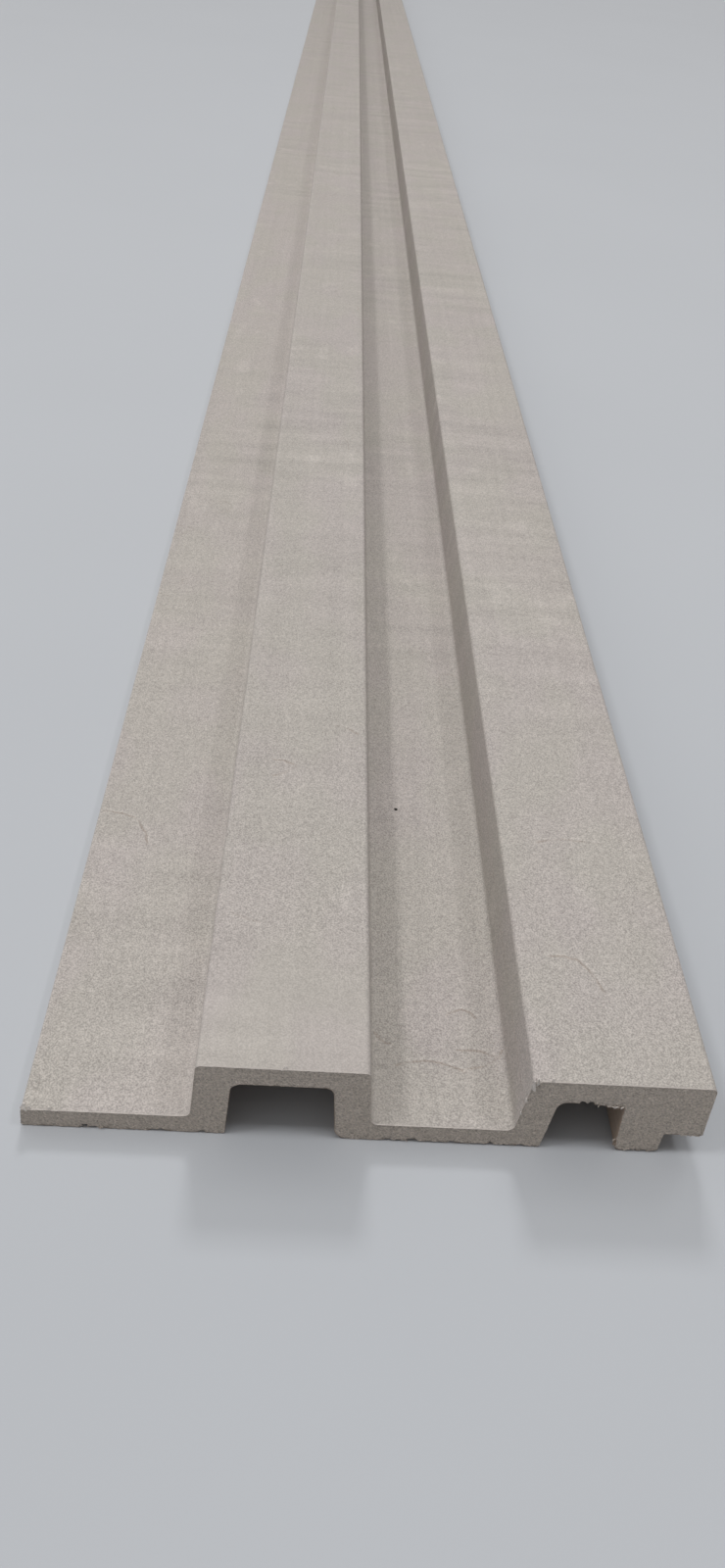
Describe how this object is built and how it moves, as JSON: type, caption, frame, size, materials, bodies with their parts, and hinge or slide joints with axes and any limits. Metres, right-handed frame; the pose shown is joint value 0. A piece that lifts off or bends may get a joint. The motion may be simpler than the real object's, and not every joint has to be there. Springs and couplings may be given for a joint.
{
  "type": "pvc wall batten",
  "caption": "Long foamed plastic wall batten with raised hollow slats, a tongue along one edge and a rebate along the other, for interlocking wall cladding.",
  "frame": {"origin": "under the middle of the length and width, on the plane that the back lies on", "axes": "+Y along the length, +Z out of the wall through the face, +X across the width from the tongue to the rebate"},
  "size_m": [0.122, 2.65, 0.02],
  "materials": {
    "film_faced_foam": "matte wood-look film in pale greige on the face, edges wrapped, with bare grey-beige foam on the sawn ends and the back"
  },
  "bodies": {
    "root": {"wall_batten": "film_faced_foam"}
  },
  "joints": []
}
